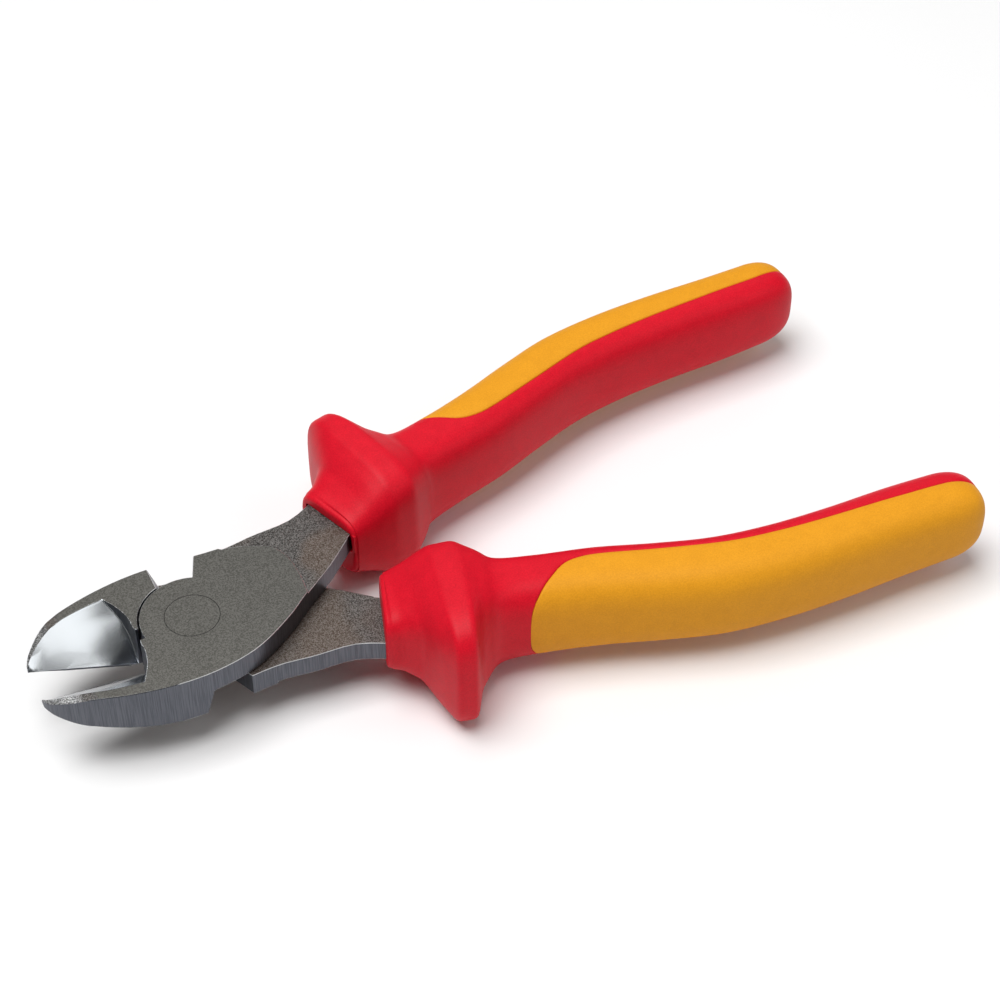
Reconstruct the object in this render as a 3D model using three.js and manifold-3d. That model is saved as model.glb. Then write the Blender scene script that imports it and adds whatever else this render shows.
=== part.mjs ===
// Insulated diagonal cutting pliers with a lap joint, stored half open.
//
// Millimetres, +Z up. The pivot axis is the Z axis and the head's back face is
// z = 0. The jaws point along -X and the handles along +X.
//
// Each half is modelled in its own closed frame: pivot at the origin, z = 0 on
// the plane between the two lap plates, jaw on the -Y side and handle on the
// +Y side, so that turning it about Z opens or closes the pliers. The lower
// half is the same piece turned over, except that both jaws carry their bevel
// on the upper side.

import * as THREE from 'three';
import { mergeVertices } from 'three/addons/utils/BufferGeometryUtils.js';
import Module from 'manifold-3d';

const wasm = await Module();
wasm.setup();

// ---- Driving dimensions -------------------------------------------------

const OPEN_ANGLE = THREE.MathUtils.degToRad(14); // between the two cutting edges as stored
const HEAD_THICKNESS = 11;
const HALF_THICKNESS = HEAD_THICKNESS / 2;

const LAP_RADIUS = 10.6; // round end of each lap plate
const LAP_GAP = 0.3; // between the two lap plates
const ARC_GAP = 0.3; // between a lap plate's round end and the jaw block around it
const RIVET_RADIUS = 5.5;
const RIVET_SHANK_RADIUS = 4;
const RIVET_HEAD_DEPTH = 2.6;
const RIVET_GAP = 0.12;

const TANG_TOP = 4.9; // height of the tang's upper face above the lap plane

const EDGE_GAP = 0.06; // from the closed cutting edge to the plane between the jaws
const EDGE_ROOT = { x: -11.9, z: -4.8 };
const EDGE_TIP = { x: -33.4, z: 0.9 };
const BACK_BEVEL = 0.9; // height of the small bevel under the cutting edge
const CROWN = 0.4; // height of the large bevel's slight crown
const ROLL = 1.2; // how far the large bevel curves up towards the throat
const ROLL_START = 0.5; // where along the edge it begins to, 0 at the tip and 1 at the root
const THROAT_BULGE = 1.2; // of the curved wall behind the large bevel
const NOSE_START = -24.5; // where the jaw's upper face begins to fall to the tip
const NOSE_DROP = 3.6; // how far it has fallen at the tip

const GRIP_DEPTH = 2.4; // thickness of the soft grip let into the sleeve
const SEAM = 0.3; // gap between moulded pieces
const LINER_WALL = 1.5;
const LINER_START = 42; // distance from the pivot to the liner's open end

const CLEAR = 60; // how far a cutting tool reaches past the material
const SKIM = 0.02; // lifts the end of a cut clear of the face it fades into
const SLIVER = 0.008; // edges shorter than this are closed up
const SEGMENTS = 60; // around the round ends and the rivet
const OUTLINE_STEPS = 70; // along the convex outer side
const SECTION_POINTS = 24; // around a handle section
const HANDLE_STEPS = 30; // along the handle
const CAP_STEPS = 5; // along its rounded end
const CAP_FULLNESS = 0.5; // below 1 the end is blunter than a half ellipse
const LIP = 0.8; // of the rounded lip at the sleeve's mouth
const GRIP_START = 0.3; // where along the handle the grip's own body starts

// ---- Outlines in the closed frame ---------------------------------------

// The convex outer side of a half: jaw tip, jaw back, lap plate, tang.
const OUTER_SIDE = [
  [-33.6, -0.9], [-32.5, -3.5], [-28.3, -7.8], [-20.2, -11.8], [-10.9, -14.6], [-2, -15.6],
  [7, -14.6], [16.1, -10.8], [22.8, -6.8], [30.2, -2.7], [37, 1.9],
];

// The other side of the tang, from the opening stop to the sleeve.
const TANG_SIDE = [[8, 14.5], [11, 13.9], [15, 13.4], [21, 13.5], [29.5, 13.2], [36.5, 15.4]];

const STOP_CORNER = [4.8, 8.9]; // where the opening stop meets the round end
const BLOCK_END = { inner: [-3.2, -9.2], outer: [-3.8, -15.4] }; // back wall of the jaw block
const BLOCK_DRAFT = 18; // degrees that this wall leans

// The upper edge of the large bevel, from the tip to the throat.
const RIDGE = [[-33.5, -0.5], [-32.2, -2.4], [-28.4, -5.6], [-24.7, -7.7], [-20.7, -9.2], [-16.1, -10.4]];

// The lower edge of the jaw's outer wall, as x and z.
const JAW_KEEL = [[-33.6, 0], [-32, -0.9], [-29, -1.9], [-25.5, -3], [-21, -4.1], [-16.5, -4.9], [-11, -5.4]];

// Where the ground face of the lap plate ends and the rough tang begins.
const GROUND_EDGE = [
  [13.8, 12.9], [16.4, 12.1], [19.9, 10], [22.9, 7.6], [24, 3.5], [23.8, -1], [22.6, -6.5],
];
const GROUND_CORNER = [11, 16];

// The tang inside the handle: sections at x, each with its edges in y and z.
const TANG_CORE = [
  { x: 36, y: [1.6, 15.4], z: [LAP_GAP / 2, TANG_TOP] },
  { x: 40, y: [3.6, 15.4], z: [LAP_GAP / 2, TANG_TOP] },
  { x: 48, y: [7.2, 16], z: [-1.6, 3.0] },
  { x: 60, y: [9.8, 16.8], z: [-2.2, 2.2] },
  { x: 82, y: [13.2, 19.6], z: [-2.2, 2.2] },
  { x: 104, y: [18.6, 24.6], z: [-2.1, 2.1] },
  { x: 120, y: [19, 24.8], z: [-2, 2] },
  { x: 138, y: [17.6, 22.8], z: [-2, 2] },
];
const TANG_END = TANG_CORE[TANG_CORE.length - 1].x;

// Handle stations: plan points on the inner and outer side, half height and
// squareness of the section (2 is an ellipse, larger is squarer).
const HANDLE = [
  { inner: [38.2, 1.2], outer: [34.6, 17.4], half: 7.4, square: 4 },
  { inner: [40.2, 1.2], outer: [38.0, 18.6], half: 8.4, square: 3.8 },
  { inner: [42.8, 1.1], outer: [41.3, 21.5], half: 10.2, square: 3.6 },
  { inner: [45.4, 0.8], outer: [43.2, 27.8], half: 12.3, square: 3.6 },
  { inner: [48.4, 0.6], outer: [45.1, 32.4], half: 14.1, square: 3.8 },
  { inner: [53.6, 1.3], outer: [49.2, 32.6], half: 14.6, square: 3.8 },
  { inner: [57.4, 3.9], outer: [52.4, 26.0], half: 12.8, square: 3.4 },
  { inner: [60.8, 6.4], outer: [57.8, 22.0], half: 10.9, square: 3 },
  { inner: [69.0, 7.9], outer: [68.0, 23.0], half: 10.4, square: 2.8 },
  { inner: [81.0, 9.6], outer: [79.6, 25.2], half: 10.2, square: 2.8 },
  { inner: [93.6, 12.5], outer: [91.6, 28.2], half: 10, square: 2.8 },
  { inner: [105.0, 14.8], outer: [103.8, 30.5], half: 10, square: 2.8 },
  { inner: [117.0, 15.4], outer: [117.2, 30.8], half: 9.9, square: 2.8 },
  { inner: [130.0, 14.8], outer: [131.0, 29.8], half: 9.8, square: 2.8 },
  { inner: [144.0, 13.4], outer: [145.2, 28.1], half: 9.6, square: 2.8 },
  { inner: [155.0, 12.7], outer: [155.6, 27.1], half: 9.2, square: 2.9 },
];
const HANDLE_CAP = 9.2; // length of the rounded end

// The edge of the soft grip in plan, from the handle's end to its outer side.
const GRIP_EDGE = [
  [174, 18], [159.5, 18.8], [145.3, 19.4], [127, 20.4], [116, 20.5], [106.7, 19.9], [93.3, 17.3],
  [82, 14.9], [77, 14.4], [73, 15.2], [69.5, 17.8], [66, 20.6], [63, 23], [61, 28],
];

// ---- Colours ------------------------------------------------------------

const STEEL = { color: 0x77776f, roughness: 0.38, metalness: 1 };
const RIVET_STEEL = { color: 0x7c7b73, roughness: 0.35, metalness: 1 };
const RED = { color: 0xd21f30, roughness: 0.55, metalness: 0 };
const YELLOW = { color: 0xe8a524, roughness: 0.6, metalness: 0 };
const LINER = { color: 0xf0c84a, roughness: 0.7, metalness: 0 };

// ---- Solids -------------------------------------------------------------

function toSolid(geometry) {
  geometry.deleteAttribute('normal');
  geometry.deleteAttribute('uv');
  const merged = mergeVertices(geometry, 1e-5);
  return new wasm.Manifold(new wasm.Mesh({
    numProp: 3,
    vertProperties: Float32Array.from(merged.attributes.position.array),
    triVerts: Uint32Array.from(merged.index.array),
  }));
}

function toGeometry(solid) {
  const mesh = solid.simplify(SLIVER).getMesh();
  const geometry = new THREE.BufferGeometry();
  geometry.setAttribute('position', new THREE.BufferAttribute(mesh.vertProperties, 3));
  geometry.setIndex(new THREE.BufferAttribute(mesh.triVerts, 1));
  return geometry;
}

function extrude(outline, bottom, top) {
  const shape = new THREE.Shape(outline.map(([x, y]) => new THREE.Vector2(x, y)));
  const geometry = new THREE.ExtrudeGeometry(shape, { depth: top - bottom, bevelEnabled: false });
  geometry.translate(0, 0, bottom);
  return toSolid(geometry);
}

function disc(radius, bottom, top) {
  const geometry = new THREE.CylinderGeometry(radius, radius, top - bottom, SEGMENTS);
  geometry.rotateX(Math.PI / 2);
  geometry.translate(0, 0, (top + bottom) / 2);
  return toSolid(geometry);
}

// A closed body through rings of points, each ring wound the same way, with
// strips between opposite points over the first and last ring.
function loft(rings) {
  const count = rings[0].length;
  const positions = rings.flat().flat();
  const indices = [];
  for (let r = 0; r + 1 < rings.length; r += 1) {
    for (let i = 0; i < count; i += 1) {
      const a = r * count + i;
      const b = r * count + ((i + 1) % count);
      indices.push(a, b, a + count, b, b + count, a + count);
    }
  }
  const last = (rings.length - 1) * count;
  for (let i = 0; i + 1 < count / 2; i += 1) {
    const across = count - 1 - i;
    indices.push(i, across - 1, i + 1, i, across, across - 1);
    indices.push(last + i, last + i + 1, last + across - 1);
    indices.push(last + i, last + across - 1, last + across);
  }
  const geometry = new THREE.BufferGeometry();
  geometry.setAttribute('position', new THREE.Float32BufferAttribute(positions, 3));
  geometry.setIndex(indices);
  return toSolid(geometry);
}

// ---- Curves -------------------------------------------------------------

function spline(points, divisions) {
  const curve = new THREE.SplineCurve(points.map(([x, y]) => new THREE.Vector2(x, y)));
  return curve.getSpacedPoints(divisions).map((p) => [p.x, p.y]);
}

function arc(radius, from, to, steps) {
  const points = [];
  for (let i = 0; i <= steps; i += 1) {
    const angle = THREE.MathUtils.degToRad(THREE.MathUtils.lerp(from, to, i / steps));
    points.push([radius * Math.cos(angle), radius * Math.sin(angle)]);
  }
  return points;
}

function angleOf([x, y]) {
  return THREE.MathUtils.radToDeg(Math.atan2(y, x));
}

// A spline through numbers, read at t from 0 to 1.
function along(values, t) {
  const place = t * (values.length - 1);
  const i = Math.min(Math.floor(place), values.length - 2);
  const w = place - i;
  const p = [i - 1, i, i + 1, i + 2].map((k) => values[THREE.MathUtils.clamp(k, 0, values.length - 1)]);
  const slopeA = (p[2] - p[0]) / 2;
  const slopeB = (p[3] - p[1]) / 2;
  return p[1] + w * (slopeA + w * (3 * (p[2] - p[1]) - 2 * slopeA - slopeB
    + w * (2 * (p[1] - p[2]) + slopeA + slopeB)));
}

// ---- Steel half ---------------------------------------------------------

function edgePoint(t) {
  const x = THREE.MathUtils.lerp(EDGE_TIP.x, EDGE_ROOT.x, t);
  return [x, -EDGE_GAP, THREE.MathUtils.lerp(EDGE_TIP.z, EDGE_ROOT.z, t)];
}

// Height of the jaw's upper face, which falls towards the tip.
function noseTop(x) {
  const d = Math.max(0, (NOSE_START - x) / (NOSE_START - EDGE_TIP.x));
  return HALF_THICKNESS - NOSE_DROP * d * d;
}

// Everything above the falling upper face of the nose.
function noseCutter() {
  const steps = 14;
  const rings = [];
  for (let i = 0; i <= steps; i += 1) {
    const x = THREE.MathUtils.lerp(EDGE_TIP.x - 2, NOSE_START, i / steps);
    const z = noseTop(x) + (i === steps ? SKIM : 0);
    rings.push([[x, CLEAR, HEAD_THICKNESS], [x, -CLEAR, HEAD_THICKNESS], [x, -CLEAR, z], [x, CLEAR, z]]);
  }
  return loft(rings);
}

// Everything above the large bevel: a ruled surface from the cutting edge to
// the ridge, carried past both and past the tip. It is slightly crowned, rolls
// up towards the throat, and the throat's wall bulges towards the joint.
function bevelCutter() {
  const rows = 22;
  const ridge = spline(RIDGE, rows - 2);
  const across = [-0.12, 0.1, 0.25, 0.4, 0.6, 0.8, 0.95, 1.12];
  const rings = [];
  for (let r = 0; r < rows; r += 1) {
    const t = Math.max(r - 1, 0) / (rows - 2);
    const beyondTip = r === 0 ? 4 : 0;
    const low = edgePoint(t);
    const top = ridge[Math.max(r - 1, 0)];
    const high = [...top, noseTop(top[0])];
    const roll = ROLL * (Math.max(0, t - ROLL_START) / (1 - ROLL_START)) ** 2;
    const surface = across.map((v) => {
      const belly = Math.sin(Math.PI * THREE.MathUtils.clamp(v, 0, 1));
      return [
        THREE.MathUtils.lerp(low[0], high[0], v) + THROAT_BULGE * belly * t ** 3 - beyondTip,
        THREE.MathUtils.lerp(low[1], high[1], v),
        THREE.MathUtils.lerp(low[2], high[2] - roll, v) + CROWN * belly * t + roll * (1 - (1 - v) ** 4),
      ];
    });
    const lid = surface.map(([x, y]) => [x, y, HEAD_THICKNESS]);
    rings.push([...lid, ...surface.reverse()]);
  }
  return loft(rings);
}

// Everything below the jaw: the keel curve along the outer wall, and a flat
// bottom just under the cutting edge, with its 45 degree back bevel.
function keelCutter() {
  const steps = 20;
  const beyondWall = 4;
  const rings = [];
  for (let i = 0; i <= steps; i += 1) {
    const t = i / steps;
    const x = along(JAW_KEEL.map((p) => p[0]), t);
    const outerZ = along(JAW_KEEL.map((p) => p[1]), t);
    const edgeT = (x - EDGE_TIP.x) / (EDGE_ROOT.x - EDGE_TIP.x);
    const edgeZ = Math.max(edgePoint(edgeT)[2], -HALF_THICKNESS + BACK_BEVEL);
    const wallY = along(OUTER_SIDE.slice(0, 6).map((p) => p[1]), Math.min(1, t)) - 1;
    const section = [
      [beyondWall, edgeZ + EDGE_GAP + beyondWall], [-BACK_BEVEL - EDGE_GAP, edgeZ - BACK_BEVEL],
      [wallY, outerZ], [wallY - beyondWall, outerZ],
      [wallY - beyondWall, -HEAD_THICKNESS], [beyondWall, -HEAD_THICKNESS],
    ];
    rings.push(section.map(([y, z]) => [i === 0 ? x - beyondWall : x, y, z]));
  }
  return loft(rings);
}

// The full-thickness jaw block with the round seat for the other lap plate
// cut out of its lower layer.
function jawBlock() {
  const { inner, outer } = BLOCK_END;
  const wall = spline(OUTER_SIDE, OUTLINE_STEPS).filter(([x]) => x < outer[0] - 0.5);
  const front = OUTER_SIDE[0][0];
  const outline = [...wall, outer, inner, [inner[0], -EDGE_GAP], [front, -EDGE_GAP]];
  const skew = angleOf([inner[1] - outer[1], inner[0] - outer[0]]);
  const behind = extrude([[0, -CLEAR], [CLEAR, -CLEAR], [CLEAR, CLEAR], [0, CLEAR]], -CLEAR, CLEAR)
    .rotate([0, BLOCK_DRAFT, -skew])
    .translate([...inner, 0]);
  const seat = disc(LAP_RADIUS + ARC_GAP, -HEAD_THICKNESS, LAP_GAP / 2);
  return extrude(outline, -HALF_THICKNESS, HALF_THICKNESS).subtract(behind).subtract(seat);
}

// The half-thickness plate: round end, opening stop and the visible tang.
function lapPlate() {
  const outline = [
    ...spline(OUTER_SIDE, OUTLINE_STEPS).filter(([x]) => x > -LAP_RADIUS),
    ...spline(TANG_SIDE, 12).reverse(),
    ...arc(LAP_RADIUS, angleOf(STOP_CORNER), 180, SEGMENTS / 3),
  ];
  const edge = spline(GROUND_EDGE, 16);
  const end = edge[edge.length - 1];
  const roughArea = [...edge, [end[0], -CLEAR], [CLEAR, -CLEAR], [CLEAR, CLEAR], GROUND_CORNER];
  const rough = extrude(roughArea, TANG_TOP, HEAD_THICKNESS);
  return extrude(outline, LAP_GAP / 2, HALF_THICKNESS).subtract(rough);
}

// The tang inside the handle, grown on every side, between two x values.
function tangCore(grow, from, to) {
  const xs = TANG_CORE.map((section) => section.x);
  const read = (key, side, x) => {
    const ahead = xs.findIndex((value) => value >= x);
    const next = ahead < 0 ? xs.length - 1 : Math.max(ahead, 1);
    const w = (x - xs[next - 1]) / (xs[next] - xs[next - 1]);
    return THREE.MathUtils.lerp(TANG_CORE[next - 1][key][side], TANG_CORE[next][key][side], w);
  };
  const stations = [from, ...xs.filter((x) => x > from && x < to), to];
  return loft(stations.map((x) => {
    const y0 = read('y', 0, x) - grow;
    const y1 = read('y', 1, x) + grow;
    const z0 = read('z', 0, x) - grow;
    const z1 = read('z', 1, x) + grow;
    return [[x, y0, z0], [x, y1, z0], [x, y1, z1], [x, y0, z1]];
  }));
}

// A finished half in its closed frame. The lower half is the same forging
// turned over about X, with its jaw ground from the other face.
function steelHalf(isLower) {
  const shank = disc(RIVET_SHANK_RADIUS + RIVET_GAP, -HEAD_THICKNESS, HEAD_THICKNESS);
  const seatFloor = HALF_THICKNESS - RIVET_HEAD_DEPTH - RIVET_GAP;
  const seat = disc(RIVET_RADIUS + RIVET_GAP, seatFloor, HEAD_THICKNESS);
  const tang = tangCore(0, TANG_CORE[0].x, TANG_END);
  const forged = jawBlock().add(lapPlate()).add(tang).subtract(shank).subtract(seat);
  const grinding = bevelCutter().add(keelCutter()).add(noseCutter());
  return isLower
    ? forged.rotate([180, 0, 0]).subtract(grinding.mirror([0, 1, 0]))
    : forged.subtract(grinding);
}

function jointRivet() {
  const profile = [
    [0, -HALF_THICKNESS],
    [RIVET_RADIUS, -HALF_THICKNESS],
    [RIVET_RADIUS, RIVET_HEAD_DEPTH - HALF_THICKNESS],
    [RIVET_SHANK_RADIUS, RIVET_HEAD_DEPTH - HALF_THICKNESS],
    [RIVET_SHANK_RADIUS, HALF_THICKNESS - RIVET_HEAD_DEPTH],
    [RIVET_RADIUS, HALF_THICKNESS - RIVET_HEAD_DEPTH],
    [RIVET_RADIUS, HALF_THICKNESS],
    [0, HALF_THICKNESS],
  ];
  const geometry = new THREE.LatheGeometry(profile.map(([r, z]) => new THREE.Vector2(r, z)), SEGMENTS);
  geometry.rotateX(Math.PI / 2);
  return toSolid(geometry);
}

// ---- Handle -------------------------------------------------------------

// One ring of the handle at t from the mouth (0) to the last station (1),
// shrunk by depth, scaled about its middle and moved along the handle.
function handleRing(t, depth, scale, shift) {
  const read = (key, axis) => along(HANDLE.map((station) => station[key][axis]), t);
  const inner = new THREE.Vector2(read('inner', 0), read('inner', 1));
  const outer = new THREE.Vector2(read('outer', 0), read('outer', 1));
  const half = (along(HANDLE.map((station) => station.half), t) - depth) * scale;
  const power = 2 / along(HANDLE.map((station) => station.square), t);
  const middle = inner.clone().add(outer).multiplyScalar(0.5);
  const across = outer.clone().sub(inner).normalize();
  const reach = (outer.distanceTo(inner) / 2 - depth) * scale;
  const forward = new THREE.Vector2(across.y, -across.x);
  middle.addScaledVector(forward, shift);
  const ring = [];
  for (let i = 0; i < SECTION_POINTS; i += 1) {
    const angle = (2 * Math.PI * i) / SECTION_POINTS;
    const c = Math.cos(angle);
    const s = Math.sin(angle);
    const side = Math.sign(c) * Math.abs(c) ** power * reach;
    const up = Math.sign(s) * Math.abs(s) ** power * half;
    ring.push([middle.x + across.x * side, middle.y + across.y * side, up]);
  }
  return ring;
}

// The handle's outer shape, shrunk by depth on every side, with a rolled lip
// at the mouth and a rounded end.
function handleBody(depth, start) {
  const rings = [handleRing(start, depth, 0.93, 0), handleRing(start, depth, 1, LIP)];
  for (let i = 1; i <= HANDLE_STEPS; i += 1) {
    rings.push(handleRing(THREE.MathUtils.lerp(start, 1, i / HANDLE_STEPS), depth, 1, 0));
  }
  for (let i = 1; i <= CAP_STEPS; i += 1) {
    const angle = (Math.PI / 2) * (i / (CAP_STEPS + 0.35));
    const length = HANDLE_CAP - depth;
    rings.push(handleRing(1, depth, Math.cos(angle) ** CAP_FULLNESS, length * Math.sin(angle)));
  }
  return loft(rings);
}

// The space of the soft grip: everything outside its edge in plan.
function gripSpace(inset) {
  const edge = spline(GRIP_EDGE, 44).map(([x, y]) => [x + inset, y + inset]);
  const [front, back] = [edge[edge.length - 1][0], edge[0][0]];
  return extrude([...edge, [front, CLEAR], [back, CLEAR]], -CLEAR, CLEAR);
}

function softGrip() {
  const core = handleBody(GRIP_DEPTH - SEAM, GRIP_START / 2);
  return handleBody(0, GRIP_START).intersect(gripSpace(SEAM)).subtract(core);
}

function sleeve() {
  const pocket = gripSpace(0).subtract(handleBody(GRIP_DEPTH, GRIP_START / 2));
  const mouthBore = tangCore(SEAM, 20, LINER_START + 1);
  const linerBore = tangCore(LINER_WALL + 2 * SEAM, LINER_START - SEAM, TANG_END + LINER_WALL + 2 * SEAM);
  return handleBody(0, 0).subtract(pocket).subtract(mouthBore).subtract(linerBore);
}

function liner() {
  const outside = tangCore(LINER_WALL + SEAM, LINER_START, TANG_END + LINER_WALL + SEAM);
  return outside.subtract(tangCore(SEAM, 20, TANG_END + SEAM));
}

// ---- Assembly -----------------------------------------------------------

function part(name, solid, finish) {
  const mesh = new THREE.Mesh(toGeometry(solid), new THREE.MeshStandardMaterial(finish));
  mesh.name = name;
  return mesh;
}

function plierHalf(prefix, isLower) {
  const moulded = new THREE.Group();
  moulded.add(part(`${prefix}_handle_liner`, liner(), LINER));
  moulded.add(part(`${prefix}_handle_sleeve`, sleeve(), RED));
  moulded.add(part(`${prefix}_soft_grip`, softGrip(), YELLOW));
  moulded.rotation.x = isLower ? Math.PI : 0;
  const half = new THREE.Group();
  half.add(part(`${prefix}_steel_half`, steelHalf(isLower), STEEL), moulded);
  half.rotation.z = (isLower ? -1 : 1) * OPEN_ANGLE / 2;
  return half;
}

const pliers = new THREE.Group();
pliers.name = 'diagonal_cutting_pliers';
pliers.add(plierHalf('upper', false));
pliers.add(plierHalf('lower', true));
pliers.add(part('joint_rivet', jointRivet(), RIVET_STEEL));
pliers.position.z = HALF_THICKNESS;

export default pliers;
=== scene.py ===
"""Insulated diagonal cutting pliers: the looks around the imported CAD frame. Metres, +Z up.

The steel halves, the rivet and the liners are the CAD nodes with new materials, and the steel halves
get rounded edges. The red sleeves and the yellow grips are built here as fine meshes, modelled in
millimetres in the closed frame of one half: pivot at the origin, z = 0 between the lap plates, the
handle towards +X on the +Y side, its inner side nearer the x axis.
"""

import math

import bmesh
import bpy
from mathutils import Matrix, Vector


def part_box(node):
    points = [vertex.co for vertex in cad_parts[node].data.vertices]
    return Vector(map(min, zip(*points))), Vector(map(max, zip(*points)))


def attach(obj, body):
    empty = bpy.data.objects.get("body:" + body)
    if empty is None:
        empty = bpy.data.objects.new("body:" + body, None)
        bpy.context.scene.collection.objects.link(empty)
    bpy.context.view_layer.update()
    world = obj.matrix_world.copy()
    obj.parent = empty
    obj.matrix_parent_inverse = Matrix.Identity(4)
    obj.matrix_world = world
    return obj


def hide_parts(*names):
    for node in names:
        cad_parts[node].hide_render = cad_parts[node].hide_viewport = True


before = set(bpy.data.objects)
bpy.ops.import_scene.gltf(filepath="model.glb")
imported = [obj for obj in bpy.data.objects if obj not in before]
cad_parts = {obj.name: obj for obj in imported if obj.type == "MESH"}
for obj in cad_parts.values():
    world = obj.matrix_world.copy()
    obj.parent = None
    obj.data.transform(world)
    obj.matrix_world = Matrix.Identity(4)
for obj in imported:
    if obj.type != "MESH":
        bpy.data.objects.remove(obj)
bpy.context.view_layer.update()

MM = 0.001

# ---- Driving dimensions ----------------------------------------------------

HEAD_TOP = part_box("joint_rivet")[1].z
LAP_PLANE = HEAD_TOP / 2
FLOOR_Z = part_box("lower_handle_sleeve")[0].z - 0.1 * MM
HALF_OPEN = math.radians(7)  # each half is turned this far from its closed place

CAMERA_TARGET = Vector((0.0718, 0.0070, LAP_PLANE))
CAMERA_DISTANCE = 0.5158
CAMERA_TURN = math.radians(26.43)  # viewing direction, from +Y towards +X
CAMERA_DROP = math.radians(44.61)  # and below the horizontal
CAMERA_LENS = 87.8
SENSOR_WIDTH = 36

WORLD_LIGHT = 0.10
LIGHTS = [  # name, direction from the object, distance, size, power
    ("key", (-0.25, 0.0, 1.0), 1.5, (1.1, 0.95), 26.5),
    ("front_card", (0.524, -0.543, 0.656), 0.8, (0.62, 0.55), 1.25),
    ("back_card", (0.32, 0.64, 0.70), 1.0, (1.0, 0.8), 1.4),
]
FLOOR_REACH = 3.0

GRIP_DEPTH = 2.4  # the pocket that the soft grip lies in
GRIP_THICKNESS = 2.2
SEAM_DEPTH = 0.3  # how far the surfaces dip at the line where they meet
SEAM_WIDTH = 0.35
LIP = 0.9  # radius of the rounded mouth
LIP_END = 0.03  # t of the first section behind the mouth's lip
BORE_DEPTH = 3.5
BORE_ACROSS, BORE_HALF_WIDTH = -0.8, 7.3  # centre and half size, across the handle
BORE_UP, BORE_HALF_HEIGHT = 2.5, 2.55
BORE_POWER = 0.15  # exponent of the bore's nearly rectangular section
CREASE_ROUNDING = 0.2  # of the guard's creases, as a share of the way to the next station
GUARD_STATIONS = 6  # stations that belong to the guard
INNER_SQUARENESS = 0.12  # how much squarer the section is on its inner side
HANDLE_CAP = 9.2  # length of the rounded end
CAP_FULLNESS = 0.5
CAP_CROWDING = 1.6  # how much closer together the rings lie towards the tip of the end
GRIP_REACH = 0.95  # how far the grip may come round the inner side, as a share of the half width

EDGE_WIDTH = 0.2  # of the rounding along the steel's sharp edges
FLAT_ANGLE = math.radians(0.5)  # faces of the steel that meet at less than this are merged
SHARP_EDGE = math.radians(28)  # edges of the steel with a larger angle than this are rounded
ROUNDED_FROM = -26  # no edge is rounded nearer the jaw tips than this x
ROUNDED_BEYOND = 7  # nor nearer the pivot than this, so that the rivet's ring stays thin
JAW_START = (-8.5, -9.5)  # x over which the jaws' finish takes over

# Handle stations: plan points on the inner and outer side, half height, squareness of the section.
HANDLE = [
    ((38.2, 1.2), (34.6, 17.4), 7.4, 4.0),
    ((40.2, 1.2), (38.0, 18.6), 8.4, 3.8),
    ((42.8, 1.1), (41.3, 21.5), 10.2, 3.6),
    ((45.4, 0.8), (43.2, 27.8), 12.3, 3.6),
    ((48.4, 0.6), (45.1, 32.4), 14.1, 3.8),
    ((53.6, 1.3), (49.2, 32.6), 14.6, 3.8),
    ((57.4, 3.9), (52.4, 26.0), 12.8, 3.4),
    ((60.8, 6.4), (57.8, 22.0), 10.9, 3.0),
    ((69.0, 7.9), (68.0, 23.0), 10.4, 2.8),
    ((81.0, 9.6), (79.6, 25.2), 10.2, 2.8),
    ((93.6, 12.5), (91.6, 28.2), 10.0, 2.8),
    ((105.0, 14.8), (103.8, 30.5), 10.0, 2.8),
    ((117.0, 15.4), (117.2, 30.8), 9.9, 2.8),
    ((130.0, 14.8), (131.0, 29.8), 9.8, 2.8),
    ((144.0, 13.4), (145.2, 28.1), 9.6, 2.8),
    ((155.0, 12.7), (155.6, 27.1), 9.2, 2.9),
]

# The soft grip's edge in plan, from past the handle's end to its outer side near the guard.
GRIP_EDGE = [
    (174, 21.3), (159.5, 18.9), (145.3, 19.4), (127, 20.4), (116, 20.5), (106.7, 19.9), (93.3, 17.3),
    (82, 14.9), (77, 14.4), (73, 15.2), (69.5, 17.8), (66, 20.6), (63, 23), (61, 28),
]

# Colours of the steel, most of them a pair from the dark to the light of a pattern.
# The upper half's bevel colour is painted shade, a darkened copy of the bright ground steel that
# stands in for a dark reflection; the lower half's is the bright steel.
BEVEL_COLOURS_UPPER_PAINTED_SHADE = {"upper": (0.20, 0.21, 0.235), "lower": (0.73, 0.765, 0.79)}
WALL_COLOURS = (0.085, 0.09, 0.105), (0.13, 0.135, 0.155)
GROUND_COLOURS = (0.115, 0.112, 0.101), (0.212, 0.207, 0.19)
BLASTED_COLOURS = (0.05, 0.046, 0.043), (0.24, 0.23, 0.22)
TIP_COLOURS = (0.12, 0.12, 0.12), (0.9, 0.9, 0.9)
# Painted highlight on the chamfers of the rounded edges: a bright colour that makes them catch light.
EDGE_HIGHLIGHT_COLOURS = (0.45, 0.46, 0.47), (0.95, 0.95, 0.95)
STAIN_COLOUR = (0.30, 0.17, 0.09)
STAIN_STRENGTH = 0.16
BRUSHING = (5.0, 5.0, 0.12)  # the brushed walls' lines run up and down
STEEL_GRAIN = 0.05  # depth of the relief

RINGS = 190  # along the handle
CAP_RINGS = 18
LIP_RINGS = 6
GRIP_START_RINGS = 10
EDGE_STEPS = 260  # along the grip's edge
ARC_POINTS = 52  # across the red skin
FLOOR_POINTS = 10  # across the pocket under the grip
GRIP_POINTS = 36  # across the grip


# ---- Curves ----------------------------------------------------------------

def hermite(values, place):
    """A Catmull-Rom spline through numbers, read at a place from 0 to len(values) - 1."""
    last = len(values) - 1
    i = min(int(place), last - 1)
    w = place - i
    before, a, b, after = (values[min(max(k, 0), last)] for k in (i - 1, i, i + 1, i + 2))
    slope_a = (b - before) / 2
    slope_b = (after - a) / 2
    square = 3 * (b - a) - 2 * slope_a - slope_b
    cube = 2 * (a - b) + slope_a + slope_b
    return a + w * (slope_a + w * (square + w * cube))


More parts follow.
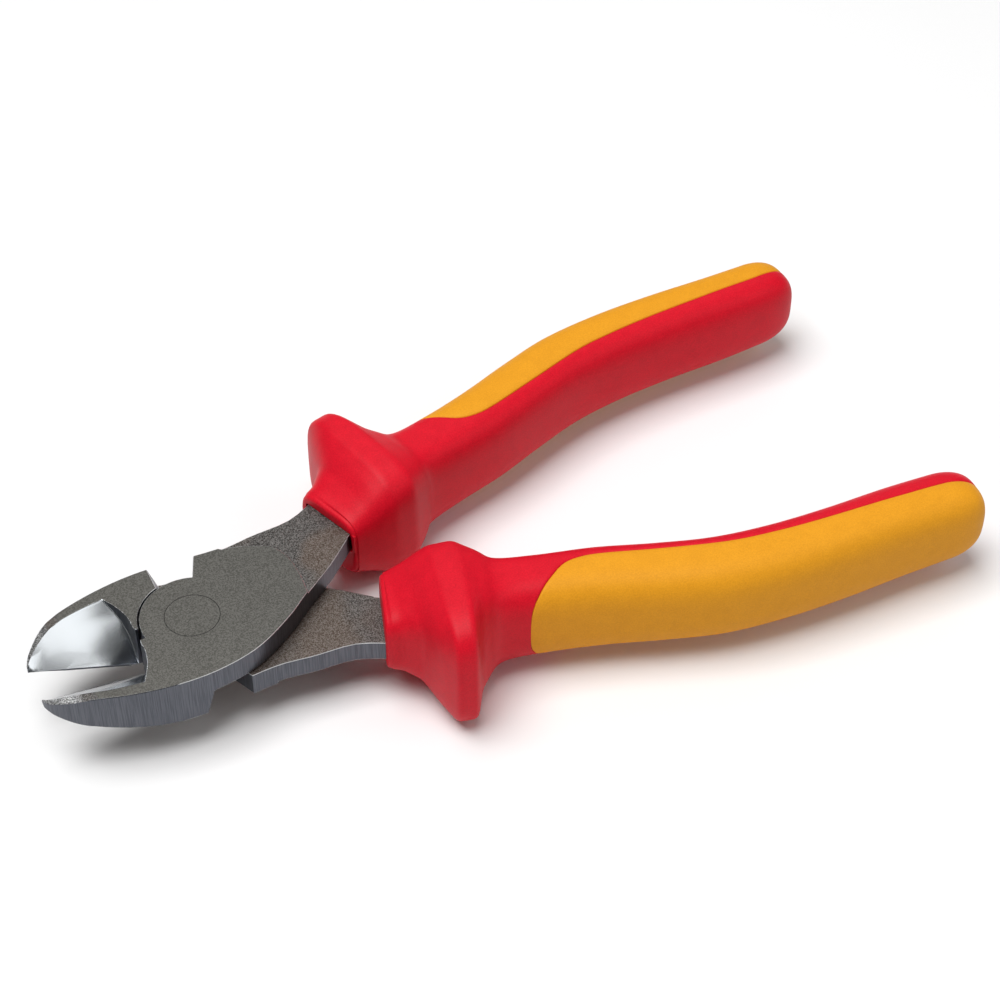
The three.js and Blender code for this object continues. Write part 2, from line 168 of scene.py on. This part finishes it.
def creased(values, place):
    """Straight runs between numbers with their corners rounded, read at a place: the mean of nine
    readings around it."""
    last = len(values) - 1
    total = 0.0
    for k in range(-4, 5):
        at = min(max(place + CREASE_ROUNDING * k / 4, 0), last)
        i = min(int(at), last - 1)
        total += values[i] + (at - i) * (values[i + 1] - values[i])
    return total / 9


def read(values, place):
    """Creased along the guard, smooth along the rest of the handle."""
    smooth = min(max(place - GUARD_STATIONS, 0), 1)
    return (1 - smooth) * creased(values, place) + smooth * hermite(values, place)


def smooth_line(points, steps):
    """Points along a spline through plan points."""
    last = len(points) - 1
    places = [last * i / steps for i in range(steps + 1)]
    xs, ys = zip(*points)
    return [Vector((hermite(xs, place), hermite(ys, place))) for place in places]


GRIP_LINE = smooth_line(GRIP_EDGE, EDGE_STEPS)


class Section:
    """The handle's section at t from the mouth (0) to the last station (1)."""

    def __init__(self, t):
        place = t * (len(HANDLE) - 1)
        self.inner = Vector([read([s[0][k] for s in HANDLE], place) for k in (0, 1)])
        self.outer = Vector([read([s[1][k] for s in HANDLE], place) for k in (0, 1)])
        self.half = read([s[2] for s in HANDLE], place)
        self.power = 2 / read([s[3] for s in HANDLE], place)
        self.middle = (self.inner + self.outer) / 2
        self.across = (self.outer - self.inner).normalized()
        self.forward = Vector((self.across.y, -self.across.x))
        self.reach = (self.outer - self.inner).length / 2

    def point(self, angle, depth=0.0, scale=1.0, shift=0.0):
        """A point of the skin, or at a depth under it. The angle is 0 in the middle of the outer side.
        Scale and shift make the rounded end: a smaller section, further along."""
        c, s = math.cos(angle), math.sin(angle)
        power = self.power / (1 + INNER_SQUARENESS * max(0.0, -c))
        side = math.copysign(abs(c) ** power, c) * (self.reach - depth) * scale
        up = math.copysign(abs(s) ** power, s) * (self.half - depth) * scale
        plan = self.middle + self.across * side + self.forward * shift
        return Vector((plan.x, plan.y, up))

    def grip_angle(self, scale=1.0, shift=0.0):
        """Half the angle that the soft grip takes up on its outer side, 0 where there is none."""
        origin = self.middle + self.forward * shift
        best = None
        for a, b in zip(GRIP_LINE, GRIP_LINE[1:]):
            da, db = (a - origin).dot(self.forward), (b - origin).dot(self.forward)
            if (da > 0) != (db > 0):
                w = da / (da - db)
                side = (a.lerp(b, w) - origin).dot(self.across) / (self.reach * scale)
                if best is None or abs(side) < abs(best):
                    best = side
        if best is None or best >= 1:
            return 0.0
        side = max(best, -GRIP_REACH)
        return math.acos(math.copysign(abs(side) ** (1 / self.power), side))

    def edge_step(self, angle, scale=1.0):
        """How much angle one millimetre along the section takes up beside the grip's edge."""
        nudge = 0.01
        travelled = (self.point(angle + nudge, scale=scale) - self.point(angle, scale=scale)).length
        return nudge / max(travelled, 1e-4)


# ---- Handle meshes ---------------------------------------------------------

def seam_dip(distance):
    """How far the skin dips at a distance from the seam, in millimetres."""
    return SEAM_DEPTH * max(0.0, 1 - distance / SEAM_WIDTH) ** 2


def span(start, end, count, step):
    """Angles from start to end, with two extra ones close to each end for the dip at the seam,
    each with its distance from the nearer end."""
    whole = end - start
    close = [0.0, min(SEAM_WIDTH / 3 * step, whole / 16), min(SEAM_WIDTH * step, whole / 8)]
    rest = whole - 2 * close[-1]
    middle = [start + close[-1] + rest * i / count for i in range(1, count)]
    angles = [start + offset for offset in close] + middle
    angles += [end - offset for offset in reversed(close)]
    return [(angle, min(angle - start, end - angle) / step) for angle in angles]


def along_handle():
    """(t, scale, shift) of every ring behind the mouth's lip."""
    rings = [(LIP_END + (1 - LIP_END) * i / RINGS, 1.0, 0.0) for i in range(RINGS + 1)]
    almost_all = CAP_RINGS + 0.002  # the last ring stops just short of a point
    for i in range(1, CAP_RINGS + 1):
        angle = math.pi / 2 * (1 - (1 - i / almost_all) ** CAP_CROWDING)
        rings.append((1.0, math.cos(angle) ** CAP_FULLNESS, HANDLE_CAP * math.sin(angle)))
    return rings


def grip_start(bare, covered):
    """Rings (t values) close together where the grip begins, between a bare one and a covered one."""
    low, high = bare, covered
    halvings = 24
    for _ in range(halvings):
        middle = (low + high) / 2
        if Section(middle).grip_angle():
            high = middle
        else:
            low = middle
    shares = [(i / GRIP_START_RINGS) ** 2 for i in range(GRIP_START_RINGS)]
    return [low] + [high + (covered - high) * share for share in shares]


def deeper(shift, depth):
    """The shift of a point under the skin, so that the rounded end is as thick as the sides."""
    return shift * (1 - depth / HANDLE_CAP)


def skin_ring(section, grip, scale, shift):
    """The red skin around one section, with the pocket for the grip where there is one."""
    step = section.edge_step(grip, scale) if grip else 1e-3
    has_seam = 1.0 if grip else 0.0
    ring = [section.point(angle, seam_dip(distance) * has_seam, scale, shift)
            for angle, distance in span(grip, 2 * math.pi - grip, ARC_POINTS, step)]
    depth = GRIP_DEPTH * has_seam
    for i in range(FLOOR_POINTS + 1):
        angle = grip * (2 * i / FLOOR_POINTS - 1)
        ring.append(section.point(angle, depth, scale, deeper(shift, depth)))
    return ring


def grip_ring(section, grip, scale, shift):
    """The soft grip's skin over its outer side and its underside, around one section."""
    step = section.edge_step(grip, scale)
    over = [section.point(angle, seam_dip(distance), scale, shift)
            for angle, distance in span(-grip, grip, GRIP_POINTS, step)]
    under = [section.point(grip * (1 - 2 * i / FLOOR_POINTS), GRIP_THICKNESS, scale,
                           deeper(shift, GRIP_THICKNESS)) for i in range(FLOOR_POINTS + 1)]
    return over + under


def mouth_rings():
    """From inside the bore around the tang, out over the mouth's face and around its lip."""
    section = Section(0)
    angles = [angle for angle, _ in span(0, 2 * math.pi, ARC_POINTS, 1e-3)]
    angles += [0.0] * (FLOOR_POINTS + 1)
    bore = []
    for angle in angles:
        c, s = math.cos(angle), math.sin(angle)
        side = BORE_ACROSS + BORE_HALF_WIDTH * math.copysign(abs(c) ** BORE_POWER, c)
        up = BORE_UP + BORE_HALF_HEIGHT * math.copysign(abs(s) ** BORE_POWER, s)
        plan = section.middle + section.across * side
        bore.append(Vector((plan.x, plan.y, up)))
    inward = Vector((section.forward.x, section.forward.y, 0)) * BORE_DEPTH
    rings = [[point + inward for point in bore], bore]
    for i in range(LIP_RINGS + 1):
        turn = math.pi / 2 * i / LIP_RINGS
        inset, shift = LIP * (1 - math.sin(turn)), LIP * (1 - math.cos(turn))
        rings.append([section.point(angle, inset, 1.0, shift) for angle in angles])
    return rings


def half_matrix(is_lower):
    """From the closed frame of one half, in millimetres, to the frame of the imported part."""
    if is_lower:
        turn = Matrix.Rotation(-HALF_OPEN, 4, "Z") @ Matrix.Rotation(math.pi, 4, "X")
    else:
        turn = Matrix.Rotation(HALF_OPEN, 4, "Z")
    return Matrix.Translation((0, 0, LAP_PLANE)) @ turn @ Matrix.Scale(MM, 4)


def tube(name, rings, matrix):
    """A closed smooth mesh through rings of points, sharp where its faces meet at a large angle."""
    same_place, shortest_edge, sharp = 0.004 * MM, 0.001 * MM, math.radians(50)
    mesh = bmesh.new()
    rows = [[mesh.verts.new(matrix @ point) for point in ring] for ring in rings]
    count = len(rows[0])
    for row, following in zip(rows, rows[1:]):
        for i in range(count):
            j = (i + 1) % count
            mesh.faces.new((row[i], row[j], following[j], following[i]))
    mesh.faces.new(rows[0])
    mesh.faces.new(rows[-1])
    bmesh.ops.remove_doubles(mesh, verts=mesh.verts, dist=same_place)
    bmesh.ops.dissolve_degenerate(mesh, edges=mesh.edges, dist=shortest_edge)
    bmesh.ops.recalc_face_normals(mesh, faces=mesh.faces)
    for face in mesh.faces:
        face.smooth = True
    for edge in mesh.edges:
        edge.smooth = len(edge.link_faces) != 2 or edge.calc_face_angle(0) < sharp
    data = bpy.data.meshes.new(name)
    mesh.to_mesh(data)
    mesh.free()
    piece = bpy.data.objects.new(name, data)
    bpy.context.scene.collection.objects.link(piece)
    return piece


def handle(side, is_lower):
    """The red sleeve and the yellow grip of one half."""
    matrix = half_matrix(is_lower)
    skin = mouth_rings()
    grip_rings = []
    rings = along_handle()
    first = next(i for i, ring in enumerate(rings) if Section(ring[0]).grip_angle())
    rings[first:first] = [(t, 1.0, 0.0) for t in grip_start(rings[first - 1][0], rings[first][0])]
    for t, scale, shift in rings:
        section = Section(t)
        grip = section.grip_angle(scale, shift)
        skin.append(skin_ring(section, grip, scale, shift))
        if grip:
            grip_rings.append(grip_ring(section, grip, scale, shift))
    body = f"{side}_half"
    red = tube(f"{side}_sleeve_skin", skin, matrix)
    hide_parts(f"{side}_handle_sleeve")
    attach(red, body)
    yellow = tube(f"{side}_grip_skin", grip_rings, matrix)
    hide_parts(f"{side}_soft_grip")
    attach(yellow, body)
    return red, yellow


# ---- Materials -------------------------------------------------------------

class Shader:
    """A node material being built. Distances inside it are millimetres."""

    def __init__(self, name):
        self.material = bpy.data.materials.new(name)
        self.material.use_nodes = True
        self.tree = self.material.node_tree
        self.tree.nodes.clear()
        output = self.tree.nodes.new("ShaderNodeOutputMaterial")
        self.bsdf = self.tree.nodes.new("ShaderNodeBsdfPrincipled")
        self.tree.links.new(self.bsdf.outputs[0], output.inputs["Surface"])
        coordinates = self.tree.nodes.new("ShaderNodeTexCoord")
        self.normal = coordinates.outputs["Normal"]
        scale = self.node("ShaderNodeVectorMath", {0: coordinates.outputs["Object"], "Scale": 1 / MM},
                          operation="SCALE")
        self.place = scale.outputs[0]

    def node(self, kind, inputs=None, **settings):
        node = self.tree.nodes.new(kind)
        for key, value in settings.items():
            setattr(node, key, value)
        for key, value in (inputs or {}).items():
            if isinstance(value, bpy.types.NodeSocket):
                self.tree.links.new(value, node.inputs[key])
            else:
                node.inputs[key].default_value = value
        return node

    def math(self, operation, a, b=0.0, clamp=False):
        node = self.node("ShaderNodeMath", {0: a, 1: b}, operation=operation, use_clamp=clamp)
        return node.outputs[0]

    def step(self, value, low, high):
        """0 below low, 1 above high, smooth between. With low above high it falls instead."""
        inputs = {"Value": value, "From Min": low, "From Max": high}
        return self.node("ShaderNodeMapRange", inputs, interpolation_type="SMOOTHSTEP").outputs[0]

    def split(self, vector):
        return self.node("ShaderNodeSeparateXYZ", {0: vector}).outputs

    def noise(self, scale, detail=2.0, roughness=0.5, stretch=(1, 1, 1)):
        at = self.node("ShaderNodeVectorMath", {0: self.place, 1: stretch}, operation="MULTIPLY")
        inputs = {"Vector": at.outputs[0], "Scale": scale, "Detail": detail, "Roughness": roughness}
        return self.node("ShaderNodeTexNoise", inputs).outputs["Fac"]

    def mix(self, factor, a, b):
        """A blend of two numbers."""
        node = self.node("ShaderNodeMix", {"Factor": factor, "A": a, "B": b}, data_type="FLOAT")
        return node.outputs[0]

    def blend(self, factor, a, b):
        """A blend of two colours."""
        node = self.tree.nodes.new("ShaderNodeMix")
        node.data_type = "RGBA"
        for socket, value in zip((node.inputs[0], node.inputs[6], node.inputs[7]), (factor, a, b)):
            if isinstance(value, bpy.types.NodeSocket):
                self.tree.links.new(value, socket)
            else:
                socket.default_value = (*value, 1) if isinstance(value, tuple) else value
        return node.outputs[2]

    def bump(self, height, distance, strength=1.0, under=None):
        inputs = {"Height": height, "Distance": distance * MM, "Strength": strength}
        if under is not None:
            inputs["Normal"] = under
        return self.node("ShaderNodeBump", inputs).outputs[0]

    def set(self, name, value):
        if isinstance(value, bpy.types.NodeSocket):
            self.tree.links.new(value, self.bsdf.inputs[name])
        else:
            self.bsdf.inputs[name].default_value = value


def plastic(name, light, dark, roughness, grain):
    """Moulded plastic: slight mottling of the colour, soft unevenness and a grain of a given depth."""
    shader = Shader(name)
    mottle = shader.noise(0.35, 3.0)
    speck = shader.noise(3.6, 2.5)
    shade = shader.mix(0.75, mottle, speck)
    shader.set("Base Color", shader.blend(shader.step(shade, 0.3, 0.7), dark, light))
    shader.set("Roughness", shader.mix(speck, roughness - 0.07, roughness + 0.07))
    shader.set("Specular IOR Level", 0.14)
    fine = shader.bump(shader.noise(4.0, 2.0), grain)
    shader.set("Normal", shader.bump(shader.noise(1.2, 1.0), 0.03, 0.4, fine))
    return shader.material


def steel(name, bevel_colour):
    """Forged steel, told apart by where a face lies and which way it looks: ground faces, brushed
    side walls, shot-blasted tangs, ground bevels and the rough ground tips of the jaws. The bevels
    take bevel_colour, which on the upper half is painted shade: the steel made darker to stand in for
    the dark reflection that the bevel shows."""
    shader = Shader(name)
    head_half = HEAD_TOP / 2 / MM
    x, _, z = shader.split(shader.place)[:3]
    _, ny, nz = (shader.math("ABSOLUTE", n) for n in shader.split(shader.normal)[:3])
    flat = shader.step(nz, 0.9, 0.97)
    height = shader.math("ABSOLUTE", shader.math("SUBTRACT", z, head_half))
    ground = shader.math("MULTIPLY", flat, shader.step(height, head_half - 0.10, head_half - 0.02))
    rough = shader.math("MULTIPLY", flat, shader.math("SUBTRACT", 1.0, ground))
    sloped = shader.math("SUBTRACT", shader.step(nz, 0.3, 0.36), flat)
    at_jaw = shader.step(x, *JAW_START)
    jaw_slope = shader.math("MULTIPLY", sloped, at_jaw)
    bevel = shader.math("MULTIPLY", jaw_slope, shader.step(ny, 0.3, 0.4))
    tip = shader.math("MULTIPLY", shader.math("SUBTRACT", sloped, bevel, True), at_jaw)
    # The chamfers of the rounded edges, away from the jaws, get a painted highlight.
    painted_edge_highlight = shader.math("SUBTRACT", sloped, at_jaw, True)

    sparkle = shader.noise(5.0, 2.5, 0.6)
    satin = shader.noise(3.6, 1.5, 0.6)
    coarse = shader.noise(3.8, 2.5, 0.65)
    lines = shader.noise(1.0, 3.0, 0.6, BRUSHING)
    cloud = shader.noise(0.12, 2.0)
    stain = shader.math("MULTIPLY", shader.step(shader.noise(0.06), 0.48, 0.66), STAIN_STRENGTH)

    colour = shader.blend(shader.step(lines, 0.35, 0.65), *WALL_COLOURS)
    ground_colour = shader.blend(shader.step(satin, 0.32, 0.68), *GROUND_COLOURS)
    rough_colour = shader.blend(shader.step(coarse, 0.35, 0.68), *BLASTED_COLOURS)
    rough_colour = shader.blend(stain, rough_colour, STAIN_COLOUR)
    # the painted highlight's colour along the rounded edges
    edge_highlight_colour = shader.blend(sparkle, *EDGE_HIGHLIGHT_COLOURS)
    tip_colour = shader.blend(shader.step(coarse, 0.4, 0.6), *TIP_COLOURS)
    for zone, zone_colour in (
        (ground, ground_colour),
        (rough, rough_colour),
        (painted_edge_highlight, edge_highlight_colour),
        (tip, tip_colour),
        # the bevel's colour, painted shade on the upper half
        (bevel, bevel_colour),
    ):
        colour = shader.blend(zone, colour, zone_colour)
    shader.set("Base Color", colour)
    shader.set("Metallic", 1.0)

    roughness = shader.mix(cloud, 0.36, 0.44)
    for zone, zone_roughness in ((rough, 0.5), (tip, 0.35), (bevel, 0.17)):
        roughness = shader.mix(zone, roughness, zone_roughness)
    shader.set("Roughness", roughness)

    grain = shader.math("MULTIPLY", lines, 0.5)
    for zone, pattern, depth in (
        (flat, satin, 0.5),
        (rough, coarse, 2.2),
        (tip, coarse, 2.0),
        (bevel, sparkle, 0.015),
    ):
        grain = shader.mix(zone, grain, shader.math("MULTIPLY", pattern, depth))
    shader.set("Normal", shader.bump(grain, STEEL_GRAIN))
    return shader.material


def dress(node, material):
    """Gives a CAD node its material."""
    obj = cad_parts[node]
    obj.data.materials.clear()
    obj.data.materials.append(material)


def modifier_group(name, *nodes):
    """A geometry node group that passes the mesh through nodes, each a kind, inputs and settings."""
    group = bpy.data.node_groups.new(name, "GeometryNodeTree")
    for direction in ("INPUT", "OUTPUT"):
        group.interface.new_socket("Geometry", in_out=direction, socket_type="NodeSocketGeometry")
    geometry = group.nodes.new("NodeGroupInput").outputs[0]
    for kind, inputs, settings in nodes:
        node = group.nodes.new(kind)
        for key, value in settings.items():
            setattr(node, key, value)
        for key, value in inputs.items():
            node.inputs[key].default_value = value
        group.links.new(geometry, node.inputs[0])
        geometry = node.outputs[0]
    group.links.new(geometry, group.nodes.new("NodeGroupOutput").inputs[0])
    return group


def joined_and_smooth():
    """Joins loose triangles at their corners and shades them smoothly."""
    same_place = 0.002 * MM
    return modifier_group(
        "joined_and_smooth",
        ("GeometryNodeMergeByDistance", {"Distance": same_place}, {}),
        ("GeometryNodeSetMeshNormal", {"Remove Custom": True}, {"mode": "SHARPNESS"}),
    )


def marked_edges():
    """Marks the sharp edges: to be rounded, or at the jaw tips and round the rivet to stay sharp."""
    on_edges = {"data_type": "FLOAT", "domain": "EDGE"}
    group = modifier_group(
        "marked_edges",
        ("GeometryNodeStoreNamedAttribute", {"Name": "bevel_weight_edge"}, on_edges),
        ("GeometryNodeSetMeshNormal", {}, {"mode": "SHARPNESS"}),
    )

    def compute(operation, a, b):
        node = group.nodes.new("ShaderNodeMath")
        node.operation = operation
        for socket, value in zip(node.inputs, (a, b)):
            if isinstance(value, bpy.types.NodeSocket):
                group.links.new(value, socket)
            else:
                socket.default_value = value
        return node.outputs[0]

    weights, normals = group.nodes[-3], group.nodes[-2]
    position = group.nodes.new("ShaderNodeSeparateXYZ")
    group.links.new(group.nodes.new("GeometryNodeInputPosition").outputs[0], position.inputs[0])
    angle = group.nodes.new("GeometryNodeInputMeshEdgeAngle").outputs["Unsigned Angle"]
    x, y = position.outputs["X"], position.outputs["Y"]
    from_pivot = compute("ADD", compute("MULTIPLY", x, x), compute("MULTIPLY", y, y))
    sharp = compute("GREATER_THAN", angle, SHARP_EDGE)
    off_tips = compute("GREATER_THAN", x, ROUNDED_FROM * MM)
    off_rivet = compute("GREATER_THAN", from_pivot, (ROUNDED_BEYOND * MM) ** 2)
    rounded = compute("MULTIPLY", compute("MULTIPLY", sharp, off_tips), off_rivet)
    group.links.new(rounded, weights.inputs["Value"])
    group.links.new(compute("SUBTRACT", sharp, rounded), normals.inputs["Edge Sharpness"])
    return group


JOINED_AND_SMOOTH = joined_and_smooth()
MARKED_EDGES = marked_edges()


def soften_edges(node):
    """Small rounded edges on a faceted steel half, with smooth shading over its curved walls."""
    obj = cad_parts[node]
    obj.modifiers.new("join", "NODES").node_group = JOINED_AND_SMOOTH
    flatten = obj.modifiers.new("merge_flat_faces", "DECIMATE")
    flatten.decimate_type = "DISSOLVE"
    flatten.angle_limit = FLAT_ANGLE
    obj.modifiers.new("mark", "NODES").node_group = MARKED_EDGES
    bevel = obj.modifiers.new("edges", "BEVEL")
    bevel.width = EDGE_WIDTH * MM
    bevel.segments = 2
    bevel.limit_method = "WEIGHT"
    bevel.harden_normals = True
    bevel.use_clamp_overlap = False


# ---- Assembly --------------------------------------------------------------

STEEL = {
    # The upper half's steel carries the bevel's painted shade; the lower half's keeps the bright
    # bevel.
    "upper": steel("forged_steel", BEVEL_COLOURS_UPPER_PAINTED_SHADE["upper"]),
    "lower": steel("forged_steel_bright_bevel", BEVEL_COLOURS_UPPER_PAINTED_SHADE["lower"]),
}
RED = plastic("red_hard_plastic", (0.68, 0.007, 0.022), (0.54, 0.004, 0.016), 0.45, 0.03)
YELLOW = plastic("yellow_soft_plastic", (0.76, 0.325, 0.014), (0.66, 0.272, 0.010), 0.55, 0.04)
LINER = plastic("liner_plastic", (0.85, 0.52, 0.05), (0.72, 0.42, 0.03), 0.6, 0.03)

for side, is_lower in (("upper", False), ("lower", True)):
    dress(f"{side}_steel_half", STEEL[side])
    soften_edges(f"{side}_steel_half")
    dress(f"{side}_handle_liner", LINER)
    red, yellow = handle(side, is_lower)
    red.data.materials.append(RED)
    yellow.data.materials.append(YELLOW)

dress("joint_rivet", STEEL["upper"])


# ---- Stage, lights and camera ----------------------------------------------

def make_floor():
    shader = Shader("pale_floor")
    shade = shader.noise(0.01, 2.0)
    shader.set("Base Color", shader.blend(shade, (0.82, 0.82, 0.82), (0.85, 0.85, 0.85)))
    shader.set("Roughness", 0.85)
    mesh = bpy.data.meshes.new("floor")
    signs = ((-1, -1), (1, -1), (1, 1), (-1, 1))
    corners = [(x * FLOOR_REACH, y * FLOOR_REACH, FLOOR_Z) for x, y in signs]
    mesh.from_pydata(corners, [], [(0, 1, 2, 3)])
    floor = bpy.data.objects.new("floor", mesh)
    floor.data.materials.append(shader.material)
    bpy.context.scene.collection.objects.link(floor)


def area_light(name, direction, distance, size, power):
    """A rectangular soft light that looks at the object from a direction."""
    data = bpy.data.lights.new(name, "AREA")
    data.shape = "RECTANGLE"
    data.size, data.size_y = size
    data.energy = power
    light = bpy.data.objects.new(name, data)
    towards = Vector(direction).normalized()
    light.location = CAMERA_TARGET + towards * distance
    light.rotation_euler = towards.to_track_quat("Z", "Y").to_euler()
    bpy.context.scene.collection.objects.link(light)


def make_camera():
    data = bpy.data.cameras.new("camera")
    data.lens = CAMERA_LENS
    data.sensor_width = SENSOR_WIDTH
    camera = bpy.data.objects.new("camera", data)
    level, drop = math.cos(CAMERA_DROP), math.sin(CAMERA_DROP)
    forward = Vector((level * math.sin(CAMERA_TURN), level * math.cos(CAMERA_TURN), -drop))
    camera.location = CAMERA_TARGET - forward * CAMERA_DISTANCE
    camera.rotation_euler = forward.to_track_quat("-Z", "Y").to_euler()
    bpy.context.scene.collection.objects.link(camera)
    bpy.context.scene.camera = camera


def make_world():
    world = bpy.data.worlds.new("studio")
    world.use_nodes = True
    background = world.node_tree.nodes["Background"]
    background.inputs["Color"].default_value = (1, 1, 1, 1)
    background.inputs["Strength"].default_value = WORLD_LIGHT
    bpy.context.scene.world = world


make_floor()
make_world()
make_camera()
for light in LIGHTS:
    area_light(*light)
bpy.context.scene.view_settings.view_transform = "Standard"
